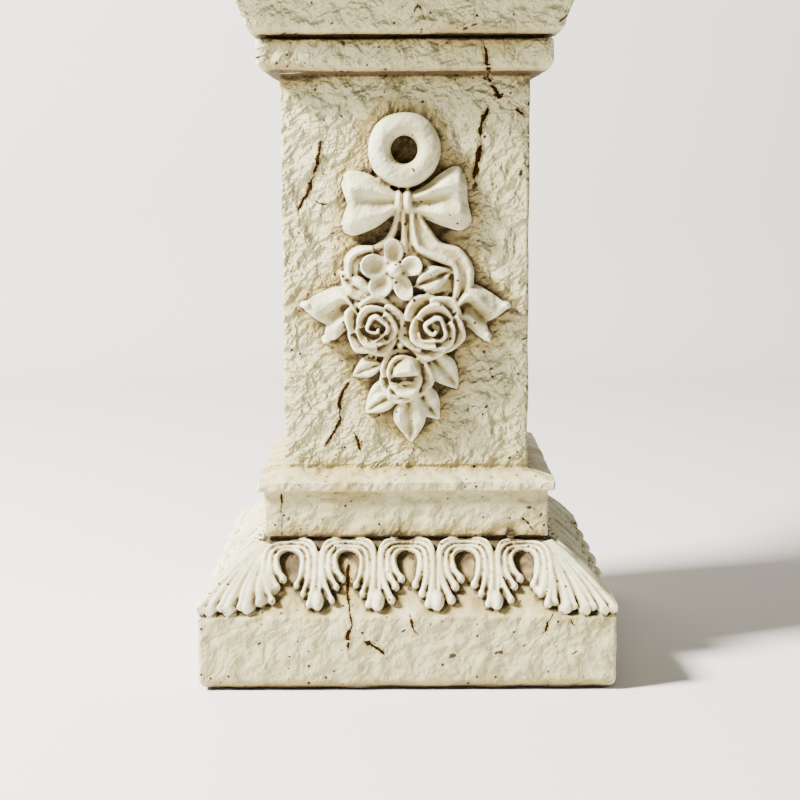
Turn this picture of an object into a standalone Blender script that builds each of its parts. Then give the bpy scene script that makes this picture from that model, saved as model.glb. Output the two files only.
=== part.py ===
"""A small square column pedestal, cast in one piece in stone-filled resin.

From the ground up it has a square foot, a slope carved with a border of leaves, a plain die with a
ledge on it, a square shaft with a hanging drop of roses on its front, a band, and a flared cap
under a square top slab. Metres, +Z up, the origin in the middle of the underside, the front at -Y.
"""

import math

import bmesh
import bpy
from mathutils import Matrix, Vector

# The tiers, from the ground up. Each projection is counted outwards from the shaft's face.
SHAFT_HALF = 0.0480
FOOT_PROJECTION = 0.0320
FOOT_HEIGHT = 0.0295
FOOT_ROUNDING = 0.0045
SLOPE_HEIGHT = 0.0245
SLOPE_TOP_PROJECTION = 0.0058
DIE_PROJECTION = 0.0078
DIE_HEIGHT = 0.0188
LEDGE_PROJECTION = 0.0104
LEDGE_HEIGHT = 0.0044
LEDGE_WEATHERING = 0.0030
SHAFT_HEIGHT = 0.1532
BAND_PROJECTION = 0.0084
BAND_HEIGHT = 0.0128
GROOVE_DEPTH = 0.0022
GROOVE_HEIGHT = 0.0010
CAP_FOOT_PROJECTION = 0.0078
CAP_BULGE = 0.0048
CAP_BULGE_HEIGHT = 0.0055
FLARE_PROJECTION = 0.0060
FLARE_HOLLOW = 0.38
FLARE_HEIGHT = 0.0185
SLAB_PROJECTION = 0.0265
SLAB_HEIGHT = 0.0208
SLAB_ROUNDING = 0.0020
CORNER_ROUNDING = 0.0014

# The border on each slope is drawn on a sheet this many units high, 0 across at the middle.
BORDER_SHEET_HEIGHT = 35.9
ARCHES_ON_A_SIDE = 5
ARCH_PITCH = 22.8
FINGERS_ON_A_CORNER = 6

# The drop on the front is drawn on a sheet this many units high, 0 across at the shaft's middle.
DROP_SHEET_HEIGHT = 127.8
DROP_TOP_MARGIN = 0.0143
DROP_FOOT_MARGIN = 0.0111
RING_RADIUS = 9.6
RING_TUBE = 4.5
RING_STRETCH = 1.03
SMALL_ROSE_RADIUS = 11.0
LARGE_ROSE_RADIUS = 12.2

# Every raised piece is let into the wall, each one a step deeper than the one before it, so that
# no two backs lie in one plane. Both are in the units of the sheets.
FIRST_SINK = 1.2
SINK_STEP = 0.06
WELD = 0.00002

RESIN = (0.70, 0.67, 0.57, 1.0)


def tier_heights():
    """The height of each joint between the tiers, by name."""
    z = {"slope": FOOT_HEIGHT}
    z["die"] = z["slope"] + SLOPE_HEIGHT
    z["ledge"] = z["die"] + DIE_HEIGHT
    z["ledge_top"] = z["ledge"] + LEDGE_HEIGHT
    z["shaft"] = z["ledge_top"] + LEDGE_WEATHERING
    z["band"] = z["shaft"] + SHAFT_HEIGHT
    z["groove"] = z["band"] + BAND_HEIGHT
    z["cap"] = z["groove"] + GROOVE_HEIGHT
    z["flare"] = z["cap"] + CAP_BULGE_HEIGHT
    z["slab"] = z["flare"] + FLARE_HEIGHT
    z["top"] = z["slab"] + SLAB_HEIGHT
    return z


def arc(centre_out, centre_up, across, up, start_deg, end_deg, steps):
    """Points (half width, height) along a quarter ellipse, both ends included."""
    turn = [math.radians(start_deg + (end_deg - start_deg) * i / steps) for i in range(steps + 1)]
    return [(centre_out + across * math.cos(a), centre_up + up * math.sin(a)) for a in turn]


def profile():
    """The pedestal's outline, as (half width, height) from the ground up."""
    z = tier_heights()
    foot = SHAFT_HALF + FOOT_PROJECTION
    die = SHAFT_HALF + DIE_PROJECTION
    ledge = SHAFT_HALF + LEDGE_PROJECTION
    band = SHAFT_HALF + BAND_PROJECTION
    cap_foot = SHAFT_HALF + CAP_FOOT_PROJECTION
    bulge = cap_foot + CAP_BULGE
    flare = bulge + FLARE_PROJECTION
    slab = SHAFT_HALF + SLAB_PROJECTION
    arris = FOOT_ROUNDING / 3
    band_round = BAND_HEIGHT / 2
    band_drop = band_round * 3 / 4
    ledge_round = LEDGE_HEIGHT / 4
    return [
        *arc(foot - FOOT_ROUNDING, FOOT_ROUNDING, FOOT_ROUNDING, FOOT_ROUNDING, -90, 0, 3),
        *arc(foot - arris, z["slope"] - arris, arris, arris, 0, 60, 2),
        (SHAFT_HALF + SLOPE_TOP_PROJECTION, z["die"]),
        (die, z["die"]),
        (die, z["ledge"] - ledge_round),
        (ledge - ledge_round, z["ledge"]),
        (ledge, z["ledge"] + ledge_round),
        (ledge, z["ledge_top"] - ledge_round),
        (ledge - ledge_round, z["ledge_top"]),
        (SHAFT_HALF, z["shaft"]),
        (SHAFT_HALF, z["band"] - BAND_HEIGHT / 4),
        (SHAFT_HALF + BAND_PROJECTION / 6, z["band"]),
        *arc(band - band_round, z["band"] + band_round, band_round, band_drop, -60, 0, 3),
        (band, z["groove"]),
        (cap_foot - GROOVE_DEPTH, z["groove"]),
        (cap_foot - GROOVE_DEPTH, z["cap"]),
        *arc(cap_foot, z["flare"], CAP_BULGE, CAP_BULGE_HEIGHT, -90, 0, 3),
        (bulge + FLARE_PROJECTION * FLARE_HOLLOW, z["flare"] + FLARE_HEIGHT / 2),
        (flare, z["slab"]),
        *arc(slab - SLAB_ROUNDING, z["slab"] + SLAB_ROUNDING, SLAB_ROUNDING, SLAB_ROUNDING, -90, 0, 2),
        *arc(slab - SLAB_ROUNDING, z["top"] - SLAB_ROUNDING, SLAB_ROUNDING, SLAB_ROUNDING, 0, 90, 2),
    ]


def rounded_square(half, height, steps=1):
    """The points of a square ring with rounded corners, anticlockwise from the +X +Y corner."""
    ring = []
    for corner in range(4):
        turn = math.radians(90 * corner)
        for step in range(steps + 1):
            a = math.radians(90 * step / steps)
            out = half - CORNER_ROUNDING + CORNER_ROUNDING * math.cos(a)
            along = half - CORNER_ROUNDING + CORNER_ROUNDING * math.sin(a)
            x = out * math.cos(turn) - along * math.sin(turn)
            y = out * math.sin(turn) + along * math.cos(turn)
            ring.append(Vector((x, y, height)))
    return ring


def tiers():
    """The plain tiers: a square ring drawn up the profile, closed at both ends."""
    levels = [rounded_square(half, height) for half, height in profile()]
    below = levels[0]
    bm = bmesh.new()
    bmesh.ops.create_circle(bm, segments=len(below), radius=SHAFT_HALF, cap_ends=True)
    for vert, place in zip(list(bm.verts), below):
        vert.co = place
    edges = list(bm.edges)
    for level in levels[1:]:
        grown = bmesh.ops.extrude_edge_only(bm, edges=edges)["geom"]
        for vert in (g for g in grown if isinstance(g, bmesh.types.BMVert)):
            nearest = min(range(len(below)), key=lambda i: (vert.co - below[i]).length_squared)
            vert.co = level[nearest]
        edges = [g for g in grown if isinstance(g, bmesh.types.BMEdge) and g.is_boundary]
        below = level
    bmesh.ops.contextual_create(bm, geom=edges)
    return bm


def smooth_point(points, share):
    """The point a share of the way along a smooth curve through these points."""
    last = len(points) - 1
    place = min(max(share, 0.0), 1.0) * last
    i = min(int(place), last - 1)
    f = place - i
    p0, p1, p2, p3 = (Vector(points[min(max(k, 0), last)]) for k in (i - 1, i, i + 1, i + 2))
    slope = (p2 - p0) / 2
    bend = p0 - p1 * 2.5 + p2 * 2 - p3 / 2
    turn = (p3 - p0) / 2 + (p1 - p2) * 1.5
    return p1 + slope * f + bend * (f * f) + turn * (f * f * f)


def along_row(row, share):
    """The height a share of the way across one section."""
    place = share * (len(row) - 1)
    i = min(int(place), max(len(row) - 2, 0))
    return row[i] + (row[min(i + 1, len(row) - 1)] - row[i]) * (place - i)


def section_height(sections, along, across):
    """The height between the sections that a piece is given along its length."""
    rows = [along_row(row, across) for row in sections]
    return along_row(rows, along)


def strap(points, widths):
    """The two edges of a strip of these widths, spread evenly along a middle line."""
    steps = 2 * (len(points) - 1)
    glance = 0.01
    edges = ([], [])
    for i in range(steps + 1):
        share = i / steps
        here = smooth_point(points, share)
        ahead = smooth_point(points, share + glance) - smooth_point(points, share - glance)
        side = Vector((-ahead.y, ahead.x)).normalized() * (along_row(widths, share) / 2)
        edges[0].append(here - side)
        edges[1].append(here + side)
    return edges


def loft(pieces, edges, sections, carrier, across, along, notch=0.0):
    """Adds one raised piece. It is drawn between two edges, its height is given by the sections
    along it, and the carrier puts it on the casting. A notch cuts a V into its far end."""
    edges = [[Vector(point) for point in edge] for edge in edges]
    sink = FIRST_SINK + SINK_STEP * len(pieces)
    glance = 0.05
    bm = bmesh.new()
    bmesh.ops.create_grid(bm, x_segments=along, y_segments=across, size=1.0)
    grown = bmesh.ops.extrude_face_region(bm, geom=bm.faces[:])["geom"]
    front = {g for g in grown if isinstance(g, bmesh.types.BMVert)}
    for vert in bm.verts:
        s = (vert.co.x + 1) / 2
        t = (vert.co.y + 1) / 2
        low = smooth_point(edges[0], s)
        place = low + (smooth_point(edges[1], s) - low) * t
        middle = [(smooth_point(edges[0], k) + smooth_point(edges[1], k)) / 2 for k in (s - glance, s)]
        ahead = middle[1] - middle[0]
        if notch and ahead.length:
            place -= ahead.normalized() * (notch * (1 - abs(2 * t - 1)) * s ** 3)
        height = section_height(sections, s, t) if vert in front else -sink
        vert.co = carrier(place.x, place.y, height)
    bmesh.ops.remove_doubles(bm, verts=bm.verts[:], dist=WELD)
    pieces.append(bm)


def ball(pieces, place, radii, carrier, rings=4, segments=8):
    """Adds an egg-shaped boss. Its place and radii are in the units of the carrier's sheet."""
    bm = bmesh.new()
    bmesh.ops.create_uvsphere(bm, u_segments=segments, v_segments=rings, radius=1.0)
    for vert in bm.verts:
        vert.co = carrier(*(middle + radius * c for middle, radius, c in zip(place, radii, vert.co)))
    pieces.append(bm)


def drop_unit():
    """The size of one unit of the drop's sheet."""
    return (SHAFT_HEIGHT - DROP_TOP_MARGIN - DROP_FOOT_MARGIN) / DROP_SHEET_HEIGHT


def on_front(a, b, h):
    """A place on the drop's sheet, put on the shaft's front."""
    unit = drop_unit()
    foot = tier_heights()["shaft"] + DROP_FOOT_MARGIN
    return Vector((a * unit, -SHAFT_HALF - h * unit, foot + b * unit))


def slope_place(b, h):
    """The half width and height of a place on the border's sheet."""
    foot = SHAFT_HALF + FOOT_PROJECTION
    run = FOOT_PROJECTION - SLOPE_TOP_PROJECTION
    length = math.hypot(run, SLOPE_HEIGHT)
    unit = length / BORDER_SHEET_HEIGHT
    inward = run / length
    upward = SLOPE_HEIGHT / length
    out = foot - b * unit * inward + h * unit * upward
    return out, FOOT_HEIGHT + b * unit * upward + h * unit * inward, unit


def on_slope(side):
    """The carrier for one side's slope; side 0 is the front."""
    turn = Matrix.Rotation(math.radians(90 * side), 3, "Z")

    def carrier(a, b, h):
        out, up, unit = slope_place(b, h)
        return turn @ Vector((a * unit, -out, up))

    return carrier


def on_hip(side):
    """The carrier for the corner to the right of a side, 0 across lying on the hip."""
    turn = Matrix.Rotation(math.radians(90 * side), 3, "Z")

    def carrier(a, b, h):
        out, up, unit = slope_place(b, h)
        if a <= 0:
            return turn @ Vector((out + a * unit, -out, up))
        return turn @ Vector((out, -out + a * unit, up))

    return carrier


def arch_leaf(pieces, carrier, centre):
    """One horseshoe of leaf on the border, open at the foot, with its folds running round it."""
    inner = [
        (-7.6, 4.6), (-5.6, 9.0), (-3.9, 14.2), (-3.4, 19.0), (-4.9, 22.6), (-3.4, 27.2), (0.0, 28.6),
        (3.5, 27.2), (5.0, 22.6), (4.3, 19.0), (6.0, 14.2), (7.2, 9.0), (8.0, 4.6),
    ]
    leg = [(-11.0, 4.4), (-11.7, 10.0), (-11.8, 15.0), (-11.6, 20.0), (-11.0, 26.0), (-7.0, 30.6)]
    outer = [*leg, (0.0, 32.0), *((-a, b) for a, b in reversed(leg))]
    edges = [[(centre + a, b) for a, b in edge] for edge in (inner, outer)]
    foot = (1.2, 2.4, 2.8)
    side = (1.3, 3.0, 1.9, 3.2, 1.7)
    crown = (1.4, 3.0, 2.0, 2.8, 0.8)
    loft(pieces, edges, [foot, side, side, crown, side, side, foot], carrier, across=4, along=11)


def corner_leaf(pieces, carrier):
    """The leaf folded over a hip. Its fingers fan out from the top and end along the foot."""
    across = 2 * FINGERS_ON_A_CORNER
    near = [(-2.0, 31.0), (-8.0, 27.0), (-13.2, 22.5), (-16.4, 18.0), (-18.4, 12.0), (-18.8, 4.2)]
    far = [(-a, b) for a, b in near]
    edge, groove, finger, spine = 0.8, 1.6, 3.2, 3.4
    ridge = [groove if i % 2 == 0 else finger for i in range(across + 1)]
    ridge[0] = ridge[-1] = edge
    ridge[FINGERS_ON_A_CORNER] = spine
    sections = [(1.6,), ridge, ridge, (2.0,)]
    loft(pieces, (near, far), sections, carrier, across=across, along=5, notch=2.0)


def border(pieces):
    """The border of leaves on the four slopes, with its bulbs and its corner leaves."""
    middle = (ARCHES_ON_A_SIDE - 1) / 2
    for side in range(4):
        carrier = on_slope(side)
        for arch in range(ARCHES_ON_A_SIDE):
            centre = (arch - middle) * ARCH_PITCH
            arch_leaf(pieces, carrier, centre)
            if arch:
                ball(pieces, (centre - ARCH_PITCH / 2, 6.4, 0.9), (2.9, 4.4, 3.1), carrier)
        corner_leaf(pieces, on_hip(side))


def ring(pieces, centre, proud):
    """A round ring standing out from the wall."""
    bm = bmesh.new()
    section = bmesh.ops.create_circle(bm, segments=8, radius=RING_TUBE)["verts"]
    upright = Matrix.Rotation(math.radians(90), 3, "X")
    bmesh.ops.rotate(bm, verts=section, cent=(0, 0, 0), matrix=upright)
    bmesh.ops.translate(bm, verts=section, vec=(RING_RADIUS, 0, 0))
    bmesh.ops.spin(bm, geom=bm.verts[:] + bm.edges[:], cent=(0, 0, 0), axis=(0, 0, 1), dvec=(0, 0, 0),
                   angle=math.radians(360), steps=22, use_merge=True, use_duplicate=False)
    for vert in bm.verts:
        up = centre[1] + vert.co.y * RING_STRETCH
        vert.co = on_front(centre[0] + vert.co.x, up, proud + vert.co.z)
    pieces.append(bm)


def bow(pieces):
    """The ring, the knot under it and the two loops of the bow."""
    ring(pieces, (-0.3, 113.3), 2.8)
    ball(pieces, (-2.5, 93.4, 1.0), (2.3, 5.2, 5.2), on_front)
    ball(pieces, (0.9, 93.5, 1.0), (2.4, 5.4, 5.8), on_front)
    left = ([(-3.4, 96.8), (-9.5, 101.8), (-15.5, 104.7), (-21.5, 105.3), (-25.1, 102.6)],
            [(-3.4, 90.2), (-9.8, 84.8), (-15.7, 82.2), (-21.0, 81.1), (-25.2, 83.0)])
    right = ([(2.6, 96.9), (8.0, 100.9), (14.0, 105.0), (19.8, 107.0), (24.0, 104.0)],
             [(2.6, 89.4), (9.0, 86.6), (15.0, 84.5), (21.0, 82.9), (25.6, 84.6)])
    folds = [(3.0, 4.4, 3.0, 4.2, 3.0, 4.4, 3.0),
             (3.2, 6.2, 2.4, 4.8, 2.4, 6.2, 3.2),
             (2.8, 6.0, 3.4, 5.0, 3.4, 6.0, 2.8),
             (1.2, 3.0, 3.0, 2.8, 3.0, 3.0, 1.2)]
    for edges, cut in ((left, 3.0), (right, 0.0)):
        loft(pieces, edges, folds, on_front, across=6, along=7, notch=cut)


def streamers(pieces):
    """The ribbon ends that hang from the knot, each with its middle line, widths and section."""
    straps = (
        ([(-2.4, 92.5), (-4.2, 83.5), (-6.9, 78.9), (-12.4, 75.0)],
         (2.6, 3.6, 3.4), (1.6, 4.2, 1.6)),
        ([(-0.5, 91.0), (-0.4, 79.7), (0.2, 71.0)],
         (2.4, 3.6, 3.0), (1.8, 4.6, 1.6)),
        ([(2.2, 91.0), (3.4, 80.5), (6.2, 75.2), (13.2, 72.1), (19.0, 68.9), (20.4, 63.0), (18.6, 55.5)],
         (2.4, 4.0, 4.4, 4.2), (1.8, 5.2, 1.6)),
        ([(4.8, 89.0), (8.6, 82.4), (13.4, 76.9), (20.3, 74.2), (24.0, 69.0), (24.4, 62.5), (21.8, 55.0)],
         (2.4, 4.4, 4.4, 4.2), (1.6, 4.0, 1.2)),
    )
    for points, widths, section in straps:
        cells = 3 * (len(points) - 1) // 2 + 2
        loft(pieces, strap(points, widths), [section], on_front, across=2, along=cells)


def swallow_tails(pieces):
    """The two forked tails beside the roses."""
    right = ([(17.6, 53.0), (23.5, 61.0), (32.6, 58.4), (40.6, 53.6)],
             [(18.4, 44.0), (22.6, 46.0), (28.1, 41.8), (32.6, 39.6)])
    left = ([(-17.0, 50.0), (-24.0, 60.4), (-33.0, 58.6), (-40.8, 54.0)],
            [(-17.0, 42.0), (-21.6, 45.0), (-26.9, 41.0), (-32.4, 38.6)])
    sections = [(1.6, 3.0, 2.4, 1.6),
                (1.6, 4.4, 2.2, 2.8, 1.6),
                (1.4, 3.8, 1.6, 2.4, 1.2),
                (1.0, 2.6, 1.6, 2.0, 1.0)]
    for edges in (right, left):
        loft(pieces, edges, sections, on_front, across=4, along=5, notch=5.2)


def blade(pieces, base, tip, width, heights):
    """A leaf or petal from its base to its tip, with its middle sunk between raised halves."""
    base = Vector(base)
    tip = Vector(tip)
    points = [base + (tip - base) * share for share in (0.0, 0.33, 0.67, 1.0)]
    start, full, end = heights
    edge, dip = full * 0.45, full * 0.62
    halves = (edge, full, dip, full, edge)
    near_tip = (end * 0.5, end, end * 0.8, end, end * 0.5)
    sections = [(start,), halves, near_tip, (end * 0.4,)]
    edges = strap(points, (0.0, width, width * 0.72, 0.0))
    loft(pieces, edges, sections, on_front, across=4, along=4)


def flower(pieces):
    """The small flower above the roses, with its heart, its own bud and the leaves round it."""
    petals = (((-4.2, 69.0), (-5.3, 78.4), 6.6), ((-5.6, 68.8), (-17.2, 69.8), 7.6),
              ((-5.4, 66.5), (-13.2, 57.8), 7.0), ((-2.6, 65.6), (0.2, 57.0), 5.6))
    for base, tip, width in petals:
        blade(pieces, base, tip, width, (4.0, 6.2, 5.0))
    ball(pieces, (-4.1, 67.8, 4.0), (3.4, 3.4, 5.0), on_front)
    ball(pieces, (1.8, 69.3, 3.2), (3.8, 3.7, 4.6), on_front)
    leaves = (((-12.6, 74.8), (-22.6, 63.8), 5.4), ((-12.0, 57.2), (-25.6, 68.4), 7.2),
              ((-12.0, 54.6), (-25.2, 60.8), 6.0), ((3.6, 66.6), (17.4, 68.2), 7.6),
              ((3.4, 59.4), (17.0, 66.6), 5.8))
    for base, tip, width in leaves:
        blade(pieces, base, tip, width, (3.0, 3.8, 2.2))


def rose(pieces, centre, radius, turn, rim):
    """A rose seen from the front: rows of overlapping petals that rise towards the middle. Each
    row has a petal count, its inner and outer reach as shares of the radius, how far it stands
    above the outermost row, and the degrees that one petal sweeps."""
    rows = ((5, 0.46, 1.00, 0.0, 84), (3, 0.22, 0.66, 2.3, 136), (2, 0.08, 0.38, 3.7, 190))
    bellied = 0.16
    overlap_turn = 20
    for count, inner, outer, rise, sweep in rows:
        top = rim + rise
        tucked = (top - 3.6, top - 2.8, top - 3.2)
        body = (top - 3.0, top - 1.2, top - 1.6)
        lapping = (top - 2.2, top, top - 0.8)
        for petal in range(count):
            start = math.radians(turn + 360 * petal / count)
            edges = ([], [])
            for step in range(5):
                a = start + math.radians(sweep) * step / 4
                swell = 1 - bellied + bellied * math.sin(math.pi * step / 4)
                for edge, reach in zip(edges, (radius * inner, radius * outer * swell)):
                    edge.append((centre[0] + reach * math.cos(a), centre[1] + reach * math.sin(a)))
            loft(pieces, edges, [tucked, body, lapping, body], on_front, across=2, along=4)
        turn += 180 / count + overlap_turn
    heart = radius / 2
    ball(pieces, (*centre, 0.0), (heart, heart, rim + rows[-1][3] - 1.4), on_front)


def bud(pieces):
    """The half-open rose at the foot of the drop, its hood over a dark mouth."""
    cheeks = (([(-0.5, 36.4), (-7.5, 34.2), (-10.6, 27.0), (-7.6, 20.6), (-1.5, 17.6)],
               [(0.0, 33.0), (-4.6, 31.0), (-6.6, 26.6), (-4.6, 22.4), (0.0, 20.6)], 7.6),
              ([(1.5, 36.2), (6.5, 33.6), (9.4, 27.6), (7.6, 21.6), (2.0, 17.8)],
               [(1.0, 33.0), (4.2, 30.8), (5.6, 27.0), (4.4, 23.4), (1.0, 20.8)], 8.6))
    for outer, inner, rim in cheeks:
        section = (rim - 2.6, rim, rim - 1.0, rim - 3.4)
        loft(pieces, (outer, inner), [section], on_front, across=3, along=6)
    hood = ([(-6.6, 26.4), (-3.6, 31.6), (1.6, 33.6), (5.4, 31.0), (6.0, 26.6)],
            [(-6.0, 25.6), (-2.8, 27.0), (1.0, 27.2), (4.2, 26.8), (5.6, 25.8)])
    loft(pieces, hood, [(6.0,), (6.6, 10.6, 9.4), (6.0,)], on_front, across=3, along=6)
    ball(pieces, (0.0, 23.4, 0.5), (4.8, 3.6, 5.4), on_front)
    ball(pieces, (-2.1, 38.8, 3.0), (1.6, 1.9, 4.2), on_front, 4, 6)


def foot_leaves(pieces):
    """The leaves that spread from under the roses."""
    leaves = (((-11.6, 35.0), (-20.8, 27.0), 5.0), ((-9.0, 30.4), (-21.2, 25.8), 6.4),
              ((-6.0, 25.0), (-16.4, 12.6), 9.0), ((-2.6, 19.6), (-16.2, 11.4), 7.4),
              ((0.7, 19.0), (2.1, 0.0), 11.8), ((4.4, 23.0), (13.2, 8.6), 10.4),
              ((8.6, 34.6), (20.8, 20.2), 10.0))
    for base, tip, width in leaves:
        blade(pieces, base, tip, width, (4.4, 4.6, 3.4))


def drop(pieces):
    """The whole drop on the front, from its ring to its lowest leaf."""
    bow(pieces)
    streamers(pieces)
    swallow_tails(pieces)
    flower(pieces)
    rose(pieces, (-12.3, 46.2), SMALL_ROSE_RADIUS, 100, 7.6)
    rose(pieces, (10.0, 46.0), LARGE_ROSE_RADIUS, 60, 8.0)
    bud(pieces)
    foot_leaves(pieces)


def resin():
    """Ivory stone-filled resin."""
    material = bpy.data.materials.new("ivory cast resin")
    material.use_nodes = True
    shader = material.node_tree.nodes["Principled BSDF"]
    shader.inputs["Base Color"].default_value = RESIN
    shader.inputs["Roughness"].default_value = 0.75
    return material


def to_object(name, bm, collection):
    """A mesh object made from the working mesh, at the origin."""
    mesh = bpy.data.meshes.new(name)
    bmesh.ops.recalc_face_normals(bm, faces=bm.faces[:])
    bm.to_mesh(mesh)
    bm.free()
    thing = bpy.data.objects.new(name, mesh)
    collection.objects.link(thing)
    return thing


def main():
    for thing in list(bpy.data.objects):
        bpy.data.objects.remove(thing)
    collection = bpy.data.collections.new("column_pedestal")
    raised = bpy.data.collections.new("raised_pieces")
    bpy.context.scene.collection.children.link(collection)
    bpy.context.scene.collection.children.link(raised)
    pedestal = to_object("column_pedestal", tiers(), collection)
    pedestal.data.materials.append(resin())
    pieces = []
    border(pieces)
    drop(pieces)
    for number, bm in enumerate(pieces):
        piece = to_object(f"raised_{number:03d}", bm, raised)
        piece.hide_render = True
        piece.display_type = "WIRE"
    union = pedestal.modifiers.new("carving", "BOOLEAN")
    union.operation = "UNION"
    union.operand_type = "COLLECTION"
    union.collection = raised
    union.solver = "EXACT"


main()
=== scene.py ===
"""A small square column pedestal in ivory cast resin, rubbed with a brown wash, on a pale floor."""

import math

import bmesh
import bpy
import numpy as np
from mathutils import Euler, Matrix, Vector
from mathutils.bvhtree import BVHTree
from mathutils.kdtree import KDTree


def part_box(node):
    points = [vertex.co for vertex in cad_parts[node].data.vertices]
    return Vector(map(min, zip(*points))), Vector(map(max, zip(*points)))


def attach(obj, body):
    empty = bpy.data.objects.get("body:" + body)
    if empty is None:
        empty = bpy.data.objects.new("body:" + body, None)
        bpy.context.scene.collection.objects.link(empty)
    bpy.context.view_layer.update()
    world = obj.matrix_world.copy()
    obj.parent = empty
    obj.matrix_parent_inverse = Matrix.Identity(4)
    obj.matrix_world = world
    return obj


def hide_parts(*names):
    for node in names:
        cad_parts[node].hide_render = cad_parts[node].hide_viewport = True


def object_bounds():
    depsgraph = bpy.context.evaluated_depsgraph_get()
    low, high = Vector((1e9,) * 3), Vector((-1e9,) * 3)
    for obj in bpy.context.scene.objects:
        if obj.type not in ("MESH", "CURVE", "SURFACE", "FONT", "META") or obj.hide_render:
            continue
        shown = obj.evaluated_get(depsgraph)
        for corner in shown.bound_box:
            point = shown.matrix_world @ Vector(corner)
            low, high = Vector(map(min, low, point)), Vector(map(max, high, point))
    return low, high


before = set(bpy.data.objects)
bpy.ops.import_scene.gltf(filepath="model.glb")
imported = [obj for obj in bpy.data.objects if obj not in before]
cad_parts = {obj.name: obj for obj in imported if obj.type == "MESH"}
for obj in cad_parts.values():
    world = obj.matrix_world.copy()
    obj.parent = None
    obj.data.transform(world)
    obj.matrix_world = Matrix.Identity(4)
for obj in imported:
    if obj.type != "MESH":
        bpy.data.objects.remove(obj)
cad_box = [list(corner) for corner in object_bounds()]


# The camera.
# A small still camera with a short telephoto lens stands about 0.6 m from the pedestal's front,
# level with the shaft and looking slightly down, so that the cap runs out of the picture.
lens = bpy.data.cameras.new("camera")
lens.lens = 73.5
lens.sensor_width = 36
lens.clip_start = 0.01
camera = bpy.data.objects.new("camera", lens)
camera.location = (-0.0020, -0.6820, 0.2008)
camera.rotation_euler = Euler((math.radians(90 - 8.36), math.radians(0.23), 0))
bpy.context.scene.collection.objects.link(camera)
bpy.context.scene.camera = camera


# The tiers of the casting.
# The plain body was turned out of one mould in stone-filled resin: foot, slope, die, ledge, shaft,
# band, cap and slab. Its arrises are soft and a little uneven, because the pattern was cut by hand.
MM = 0.001
base_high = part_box("column_pedestal")[1]
foot_half = base_high.x
height = base_high.z
shaft_half = foot_half - 32.0 * MM
slope_foot = 29.5 * MM
slope_top = slope_foot + 24.5 * MM
slope_top_half = shaft_half + 5.8 * MM
die_half = shaft_half + 7.8 * MM
ledge_half = shaft_half + 10.4 * MM
ledge = slope_top + 18.8 * MM
ledge_top = ledge + 4.4 * MM
shaft_foot = ledge_top + 3.0 * MM
band = shaft_foot + 153.2 * MM
groove = band + 12.8 * MM
band_half = shaft_half + 8.4 * MM
cap_half = shaft_half + 7.8 * MM
slab_half = shaft_half + 26.5 * MM
slab_foot = height - 20.8 * MM


def quarter(out, up, across, rise, start, end, steps=4):
    """Points (half width, height) round part of an ellipse, with its start and end in degrees."""
    turns = [math.radians(start + (end - start) * step / steps) for step in range(steps + 1)]
    return [(out + across * math.cos(turn), up + rise * math.sin(turn)) for turn in turns]


tier_outline = [
    *quarter(foot_half - 4.5 * MM, 4.5 * MM, 4.5 * MM, 4.5 * MM, -90, 0),
    *quarter(foot_half - 1.6 * MM, slope_foot - 1.6 * MM, 1.6 * MM, 1.6 * MM, 0, 70),
    (slope_top_half, slope_top),
    (slope_top_half, slope_top + 0.5 * MM),
    (die_half, slope_top + 0.5 * MM),
    *quarter(die_half + 0.8 * MM, ledge - 0.8 * MM, 0.8 * MM, 0.8 * MM, 180, 90),
    *quarter(ledge_half - 0.7 * MM, ledge + 0.7 * MM, 0.7 * MM, 0.7 * MM, -90, 0),
    *quarter(ledge_half - 0.9 * MM, ledge_top - 0.9 * MM, 0.9 * MM, 0.9 * MM, 0, 75),
    *quarter(shaft_half + 1.4 * MM, shaft_foot + 1.4 * MM, 1.4 * MM, 1.4 * MM, 240, 180),
    *quarter(shaft_half + 0.9 * MM, band - 0.9 * MM, 0.9 * MM, 0.9 * MM, 180, 90),
    *quarter(band_half - 4.6 * MM, band + 5.6 * MM, 4.6 * MM, 5.5 * MM, -84, 0),
    *quarter(band_half - 1.0 * MM, groove - 1.0 * MM, 1.0 * MM, 1.0 * MM, 0, 90),
    (cap_half - 3.0 * MM, groove),
    (cap_half - 3.0 * MM, groove + 1.2 * MM),
    *quarter(cap_half - 0.2 * MM, groove + 6.5 * MM, 5.0 * MM, 5.4 * MM, -88, 0),
    (cap_half + 8.2 * MM, groove + 15.0 * MM),
    (cap_half + 12.2 * MM, slab_foot - 0.4 * MM),
    *quarter(slab_half - 2.0 * MM, slab_foot + 2.0 * MM, 2.0 * MM, 2.0 * MM, -90, 0),
    *quarter(slab_half - 2.0 * MM, height - 2.0 * MM, 2.0 * MM, 2.0 * MM, 0, 90),
]


def square_ring(half, up, rounding=1.4 * MM, steps=4):
    """The points of a square ring with rounded corners."""
    ring = []
    for corner in range(4):
        turn = Matrix.Rotation(math.radians(90 * corner), 3, "Z")
        for step in range(steps + 1):
            a = math.radians(90 * step / steps)
            middle = half - rounding
            ring.append(turn @ Vector((middle + rounding * math.cos(a), middle + rounding * math.sin(a), up)))
    return ring


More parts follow.
